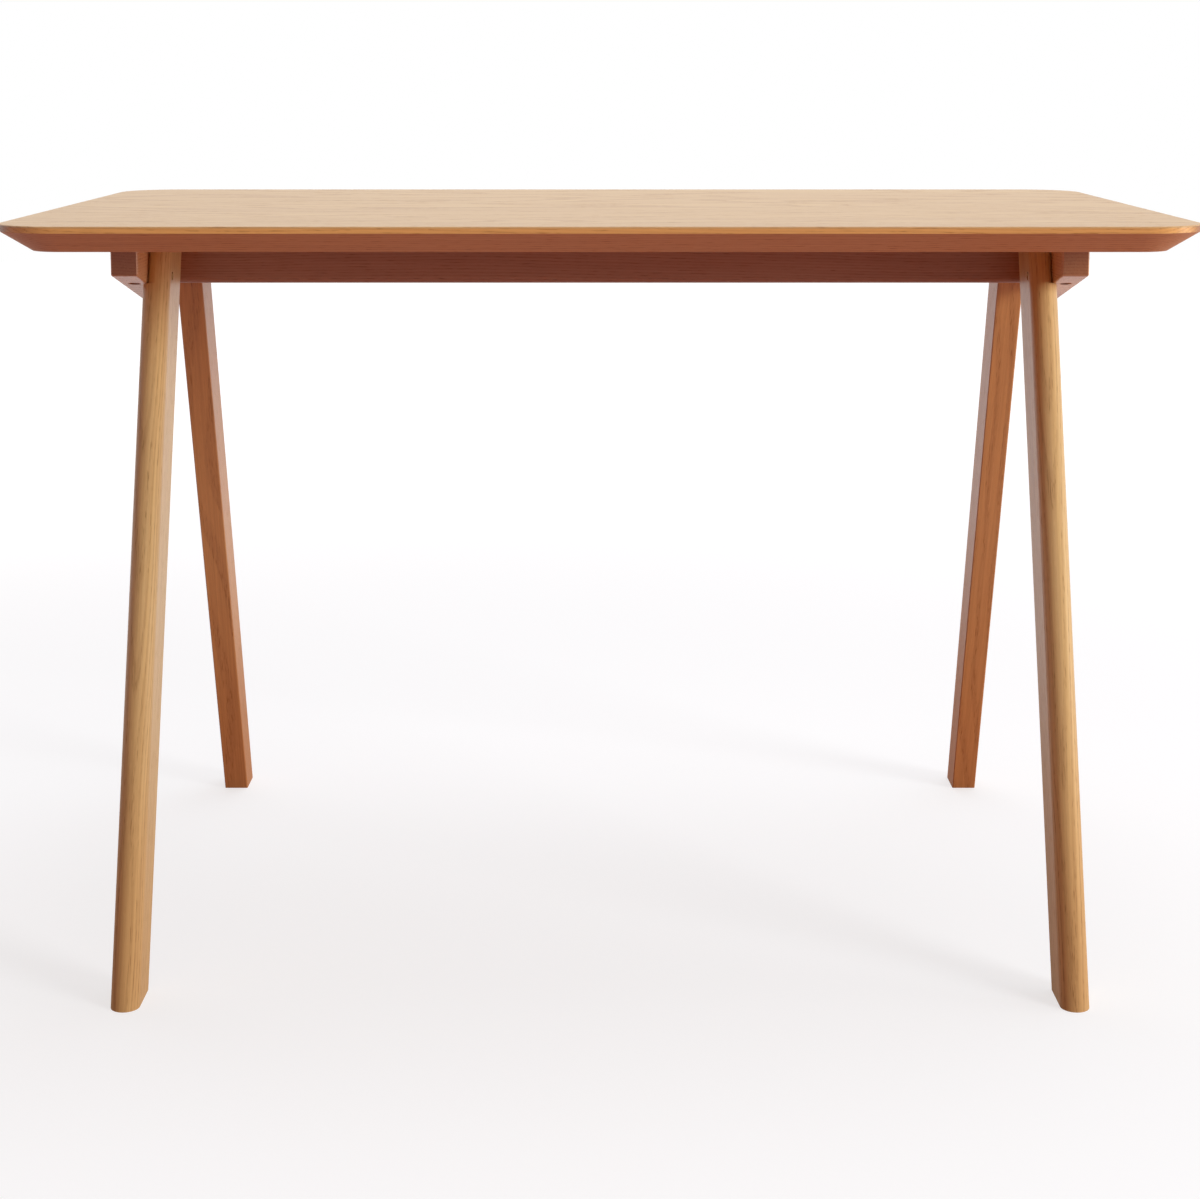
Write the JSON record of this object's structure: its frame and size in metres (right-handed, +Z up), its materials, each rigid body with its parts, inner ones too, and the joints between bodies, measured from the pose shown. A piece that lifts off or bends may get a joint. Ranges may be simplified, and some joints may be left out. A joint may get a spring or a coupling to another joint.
{
  "type": "trestle desk",
  "caption": "Solid oak desk: a thin bevelled top with rounded corners on two splayed A-shaped trestles, joined by a rail under the top.",
  "frame": {"origin": "on the floor, under the centre of the top", "axes": "+X along the desk to the right-hand end, +Y from its front to its back, +Z up"},
  "size_m": [1.15, 0.769, 0.75],
  "materials": {
    "oak_top": "matt oiled oak, grain along X",
    "oak_frame": "satin oiled oak, grain along each piece",
    "zinc_plated_steel": "bright zinc plate",
    "brass_insert": "plain brass"
  },
  "bodies": {
    "root": {"barrel_nut_left": "zinc_plated_steel", "barrel_nut_right": "zinc_plated_steel", "bearer_left": "oak_frame", "bearer_right": "oak_frame", "leg_back_left": "oak_frame", "leg_back_right": "oak_frame", "leg_bolts_left": "zinc_plated_steel", "leg_bolts_right": "zinc_plated_steel", "leg_front_left": "oak_frame", "leg_front_right": "oak_frame", "leg_inserts_left": "brass_insert", "leg_inserts_right": "brass_insert", "stretcher": "oak_frame", "stretcher_bolt_left": "zinc_plated_steel", "stretcher_bolt_right": "zinc_plated_steel", "top_board_1": "oak_top", "top_board_2": "oak_top", "top_board_3": "oak_top", "top_board_4": "oak_top", "top_board_5": "oak_top", "top_bolts_left": "zinc_plated_steel", "top_bolts_right": "zinc_plated_steel", "top_inserts_left": "brass_insert", "top_inserts_right": "brass_insert"}
  },
  "joints": []
}
